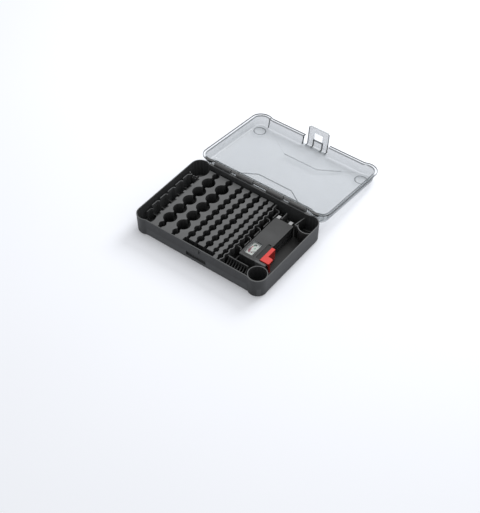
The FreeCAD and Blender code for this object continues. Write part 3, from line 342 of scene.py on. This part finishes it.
def metal(name, tone, shade, roughness, stretch=(1.0, 14.0, 1.0)):
    """Plated or drawn metal with fine brush lines along one direction."""
    finish = Finish(name)
    brush = finish.noise(1.6, 3.0, 0.6, stretch)
    dull = finish.noise(5, 2.0)
    return finish.surface(
        Base_Color=finish.mix(0.6 * brush + 0.3 * dull, tone, shade), Metallic=1.0,
        Roughness=roughness + 0.12 * (dull - 0.5),
        Normal=finish.bump(brush, 0.02, 0.4))


def shut_lid_axes(finish):
    """Coordinates in millimetres on the shut lid, from those on the lid folded back."""
    x, y, z = finish.axes(finish.place(), 1000)
    turn = -math.radians(joints["lid_hinge"]["range_deg"][0])
    _, hinge_y, hinge_z = (part / MM for part in joints["lid_hinge"]["pos_m"])
    c, s = math.cos(turn), math.sin(turn)
    shut_y = (y - hinge_y) * c - (z - hinge_z) * s + hinge_y
    shut_z = (y - hinge_y) * s + (z - hinge_z) * c + hinge_z
    return x, shut_y, shut_z


def near_segment(x, y, start, end):
    """Distance in the plan from a point to a straight run, in millimetres."""
    dx, dy = end[0] - start[0], end[1] - start[1]
    along = ((x - start[0]) * dx + (y - start[1]) * dy) / (dx * dx + dy * dy)
    along = along.least(1.0).most(0.0)
    return ((x - start[0] - along * dx) ** 2.0 + (y - start[1] - along * dy) ** 2.0) ** 0.5


def inside_outline(x, y):
    """How far a point of the lid's plan lies inside the outline of its flange.

    The outline is a rectangle with round corners, and its long sides draw in by about 4 mm
    between the corners.
    """
    across = abs(x)
    bulge = across.between(110.0, 124.0)
    past_front = FLANGE_FRONT_Y - FRONT_BULGE * bulge - y
    past = past_front.most(y - FLANGE_REAR_Y - REAR_BULGE * bulge)
    corner_x = (across - FLANGE_CORNER_X).most(0.0)
    corner_y = (past + FLANGE_CORNER_RADIUS).most(0.0)
    return FLANGE_CORNER_RADIUS - (corner_x ** 2.0 + corner_y ** 2.0) ** 0.5


def lid_lines(x, y, z):
    """Painted dark lines where light bends in the lid: pad steps, corner rings, the rim's two
    lines, slit and seam.
    """
    across = abs(x)
    step = near_segment(x, y, *PAD_FRONT_SLANT)
    for run in (PAD_FRONT_RUN, *PAD_REAR_RUNS):
        step = step.least(near_segment(across, y, *run))
    for ring_x, ring_y in CORNER_RINGS:
        reach = ((across - ring_x) ** 2.0 + (y - ring_y) ** 2.0) ** 0.5
        step = step.least(abs(reach - CORNER_RING_RADIUS))
    inside = inside_outline(x, y)
    outer = inside.between(1.1, 0.6) * z.between(FLANGE_TOP_Z + 1.1, FLANGE_TOP_Z + 0.5)
    past_wall = inside - (FLANGE_WIDTH + LID_WALL + 0.3)
    inner = abs(past_wall).between(1.0, 0.5) * z.between(FLANGE_TOP_Z + 1.9, FLANGE_TOP_Z + 1.1)
    front_wall = y.between(-91.0, -92.0) * z.between(PANEL_INNER_Z + 0.6, PANEL_INNER_Z + 0.1)
    slit = abs(x - (LATCH_SLIT_X - 1.0)).between(1.3, 0.7) * front_wall
    seam = abs(x - CORNER_SEAM_X).between(1.2, 0.7) * front_wall
    panel = z.between(PANEL_INNER_Z - 1.7, PANEL_INNER_Z - 0.7)
    return (step.between(1.0, 0.4) * panel * 0.6
            + outer + inner * 0.55 + slit * 0.9 + seam * 0.8)


def lid_dense_and_shade(x, y, z):
    """Thicker hinge side, where knuckles and flange lie one behind another, darkened further by
    painted shade, and painted shade on the right end wall.

    The flat of the flange is thinned between its two lines.
    """
    # Layered plastic on the hinge side, with painted shade over it.
    hinge = y.between(95.2, 96.0) * z.between(54.0, 49.0) * abs(x).between(138.0, 134.0)
    # Painted shade on the right end wall.
    end = x.between(144.5, 145.5) * z.between(45.0, 46.0)
    inside = inside_outline(x, y)
    flat = (z.between(FLANGE_TOP_Z + 1.5, FLANGE_TOP_Z + 1.1) * inside.between(1.2, 1.8)
            * inside.between(FLANGE_WIDTH + 0.1, FLANGE_WIDTH - 0.5))
    return hinge + end * 0.48 - flat * y.between(96.0, 95.0) * 0.30


def latch_lines(x, y, z):
    """Painted dark lines where light bends in the latch: its sides and foot, its two ribs, the
    bar between them and its right root.
    """
    across = abs(x)
    ribs = abs(across - LATCH_RIB_X).between(1.2, 0.6) * z.between(46.0, 47.0)
    bar = abs(z - LATCH_BAR_Z).between(1.2, 0.6) * across.between(11.0, 10.0)
    sides = across.between(LATCH_SIDE_X - 1.3, LATCH_SIDE_X - 0.6)
    root = (across.between(LATCH_SIDE_X - 2.1, LATCH_SIDE_X - 1.3) * x.between(0.0, 1.0)
            * z.between(42.0, 48.0))
    foot = z.between(LATCH_FOOT_Z + 0.8, LATCH_FOOT_Z + 0.3)
    return ribs + bar * 0.7 + sides * 0.8 + root + foot * 0.35


def window_border(x, y, z):
    """A faint frame along the window's border."""
    return abs(x - WINDOW_MIDDLE_X).between(8.0, 8.4) * 0.2


shell_finish = moulded("case_plastic", grey(0.022, 0.04), grey(0.070, 0.04), 0.50, shell_painted_light_and_wear,
                       relief=shell_relief)
tray_finish = moulded("tray_plastic", grey(0.008, 0.02), grey(0.110, 0.02), 0.50, tray_painted_light,
                      specular=0.3)
tester_finish = moulded("tester_plastic", grey(0.006, 0.03), grey(0.110, 0.03), 0.46,
                        tester_painted_light, specular=0.32)
# A lighter copy of the tray plastic: painted light on the leaf faces.
leaf_lit_finish = moulded("leaf_plastic_lit", grey(0.018, 0.03), grey(0.095, 0.03), 0.42, leaf_painted_light)
lid_finish = clear_plastic("clear_lid", lid_lines, (0.27, 0.31, 0.33, 1), 0.19, lid_dense_and_shade)
latch_finish = clear_plastic("clear_latch", latch_lines, (0.33, 0.36, 0.38, 1), 0.21)
window_finish = clear_plastic("window_plastic", window_border, (0.60, 0.64, 0.66, 1), 0.06)
red_finish = moulded("red_plastic", (0.52, 0.018, 0.014, 1), (0.78, 0.055, 0.040, 1), 0.34)
card_finish = moulded("dial_card", (0.44, 0.47, 0.45, 1), (0.60, 0.64, 0.61, 1), 0.55)
ink_red = moulded("ink_red", (0.13, 0.004, 0.018, 1), (0.20, 0.010, 0.034, 1), 0.6)
ink_pale_red = moulded("ink_pale_red", (0.34, 0.07, 0.06, 1), (0.46, 0.12, 0.10, 1), 0.6)
ink_green = moulded("ink_green", (0.004, 0.07, 0.030, 1), (0.012, 0.14, 0.060, 1), 0.6)
ink_pale_green = moulded("ink_pale_green", (0.12, 0.33, 0.20, 1), (0.18, 0.42, 0.27, 1), 0.6)
ink_black = moulded("ink_black", grey(0.010), grey(0.03), 0.6)
needle_finish = moulded("needle_black", grey(0.006), grey(0.02), 0.4)
bracket_finish = moulded("bracket_plastic", grey(0.02), grey(0.05), 0.5)
resistor_finish = moulded("resistor_body", (0.38, 0.27, 0.16, 1), (0.55, 0.42, 0.28, 1), 0.4)
wire_red_finish = moulded("wire_red_cover", (0.36, 0.01, 0.01, 1), (0.55, 0.03, 0.02, 1), 0.5)
wire_black_finish = moulded("wire_black_cover", grey(0.008), grey(0.025), 0.5)
nickel = metal("nickel_plate", grey(0.30, 0.01), grey(0.20, 0.01), 0.42)
brass = metal("brass_strip", (0.70, 0.50, 0.20, 1), (0.45, 0.30, 0.10, 1), 0.3)
bronze = metal("spring_bronze", (0.55, 0.33, 0.14, 1), (0.38, 0.22, 0.09, 1), 0.3)
copper = metal("coil_copper", (0.62, 0.24, 0.10, 1), (0.40, 0.13, 0.05, 1), 0.35,
               (1.0, 1.0, 30.0))
iron = metal("magnet_iron", grey(0.16), grey(0.08), 0.5, (1.0, 1.0, 4.0))
zinc = metal("screw_steel", grey(0.45), grey(0.28), 0.35)

FINISHES = {
    "base_shell": shell_finish, "block_cell_leaves": leaf_lit_finish,
    "lid_shell": lid_finish, "lid_latch": latch_finish,
    "tester_bottom_case": tester_finish, "tester_top_cover": tester_finish,
    "meter_window": window_finish, "housing_screws": zinc, "meter_dial": card_finish,
    "meter_bracket": bracket_finish, "meter_magnet": iron, "meter_coil": copper,
    "meter_hairspring": bronze, "meter_needle": needle_finish,
    "block_contact_left": nickel, "block_contact_right": nickel, "fixed_contact": nickel,
    "contact_rail": brass, "slider_arm": red_finish, "slider_contact": nickel,
    "slider_wiper": bronze, "load_resistors": resistor_finish,
    "wire_red": wire_red_finish, "wire_black": wire_black_finish,
}
for name, node in nodes.items():
    node.data.materials.clear()
    node.data.materials.append(FINISHES.get(name, tray_finish))


# ---- printed dial -----------------------------------------------------------------------
def printed_arc(name, radius, start, end, width, material):
    """Flat printed stroke on the dial card, along an arc round the needle's pivot.

    A point lies at the radius plus a share of the width, at an angle that goes from start
    to end in degrees; the stroke narrows to a third at its ends with the square of the
    distance from its middle.  The grid is length by width, in millimetres.
    """
    t, w = np.meshgrid(np.linspace(0, 1, 24), np.linspace(-0.5, 0.5, 3), indexing="ij")
    angle = np.radians(start + (end - start) * t)
    reach = radius + width * w * (1 - 0.67 * (2 * t - 1) ** 2)
    points = np.dstack([pivot_x + reach * np.cos(angle), pivot_y + reach * np.sin(angle),
                        np.full(t.shape, dial_top)]) * MM
    return grid_piece(name, points, material)


def grid_piece(name, points, material):
    """A mesh from a grid of points, with one quad between each four neighbours."""
    rows, columns = points.shape[:2]
    index = np.arange(rows * columns).reshape(rows, columns)
    quads = np.stack([index[:-1, :-1], index[1:, :-1], index[1:, 1:], index[:-1, 1:]],
                     axis=-1).reshape(-1, 4)
    mesh = bpy.data.meshes.new(name)
    mesh.from_pydata(points.reshape(-1, 3).tolist(), [], quads.tolist())
    mesh.materials.append(material)
    piece = bpy.data.objects.new(name, mesh)
    bpy.context.scene.collection.objects.link(piece)
    return piece


dial_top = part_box("meter_dial")[1].z / MM + 0.03
pivot_x, pivot_y, _ = (part / MM for part in joints["needle_swing"]["pos_m"])
for name, radius, start, end, width, ink in (
        ("dial_red_band", 17.6, 217, 172, 4.6, ink_red),
        ("dial_pale_red_band", 17.8, 172, 157, 2.2, ink_pale_red),
        ("dial_green_band", 17.8, 157, 136, 3.2, ink_green),
        ("dial_end_mark", 17.2, 144, 133, 4.4, ink_black),
        ("dial_red_spot", 12.4, 224, 212, 2.4, ink_red),
        ("dial_green_spot", 11.0, 176, 150, 2.6, ink_pale_green)):
    band = printed_arc(name, radius, start, end, width, ink)
    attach(band, "tester")


# ---- floor, light and camera ---------------------------------------------------------------
def white_floor():
    """Pale floor that shows as white where nothing shades it, and keeps soft shadows."""
    finish = Finish("floor")
    seen = finish.value("ShaderNodeLightPath", output="Is Camera Ray")
    diffuse = finish.value("ShaderNodeBsdfDiffuse", feeds={
        "Color": finish.mix(finish.noise(600, 2.0), (0.76, 0.78, 0.83, 1),
                            (0.78, 0.80, 0.85, 1))})
    glow = finish.value("ShaderNodeEmission", feeds={"Color": (1, 1, 1, 1),
                                                      "Strength": seen * 0.14})
    finish.output(finish.value("ShaderNodeAddShader", feeds={0: diffuse, 1: glow}))
    return finish.block


marks = np.linspace(-6000, 6000, 13)
x, y = np.meshgrid(marks, marks, indexing="ij")
floor = grid_piece("floor", np.dstack([x, y, 0 * x]) * MM, white_floor())

AMBIENT = 0.62
world = Finish("surroundings", bpy.data.worlds.new("surroundings"))
path = world.node("ShaderNodeLightPath").outputs
straight = Value(world, path["Is Camera Ray"]).most(Value(world, path["Is Glossy Ray"]))
straight = straight.most(Value(world, path["Is Transmission Ray"]))
sky = world.value("ShaderNodeBackground", feeds={
    "Color": (1.0, 1.0, 1.0, 1.0), "Strength": AMBIENT + (1 - AMBIENT) * straight})
world.node("ShaderNodeOutputWorld", feeds={"Surface": sky})
bpy.context.scene.world = world.block


def soft_box(name, place, target, size, power):
    """Square lamp that faces a target."""
    lamp = bpy.data.lights.new(name, "AREA")
    lamp.shape, lamp.size, lamp.energy = "SQUARE", size, power
    holder = bpy.data.objects.new(name, lamp)
    holder.location = place
    holder.rotation_euler = (Vector(target) - Vector(place)).to_track_quat("-Z", "Y").to_euler()
    bpy.context.scene.collection.objects.link(holder)


case_middle = (0, 0.1, 0)
soft_box("overhead_box", (0.0, 0.45, 1.7), case_middle, size=1.1, power=8)
soft_box("back_box", (0.15, 1.55, 1.25), case_middle, size=0.9, power=21)


def aimed_camera(bearing, height, roll, spot, lens):
    """Camera at a spot, looking down at a bearing and a height in degrees, with a roll."""
    a, h, r = (math.radians(angle) for angle in (bearing, height, roll))
    back = Vector((math.sin(a) * math.cos(h), -math.cos(a) * math.cos(h), math.sin(h)))
    side = (-back).cross(Vector((0, 0, 1))).normalized()
    rise = side.cross(-back)
    right = side * math.cos(r) + rise * math.sin(r)
    over = rise * math.cos(r) - side * math.sin(r)
    data = bpy.data.cameras.new("camera")
    data.sensor_width, data.lens = 36.0, lens
    data.clip_start, data.clip_end = 0.01, 50.0
    camera = bpy.data.objects.new("camera", data)
    turned = Matrix((right, over, back)).transposed().to_4x4()
    camera.matrix_world = Matrix.Translation(spot) @ turned
    bpy.context.scene.collection.objects.link(camera)
    return camera


bpy.context.scene.camera = aimed_camera(bearing=37.32, height=46.89, roll=-0.37,
                                        spot=(0.9104, -1.1558, 1.5059), lens=77.46)
bpy.context.scene.view_settings.view_transform = "Standard"
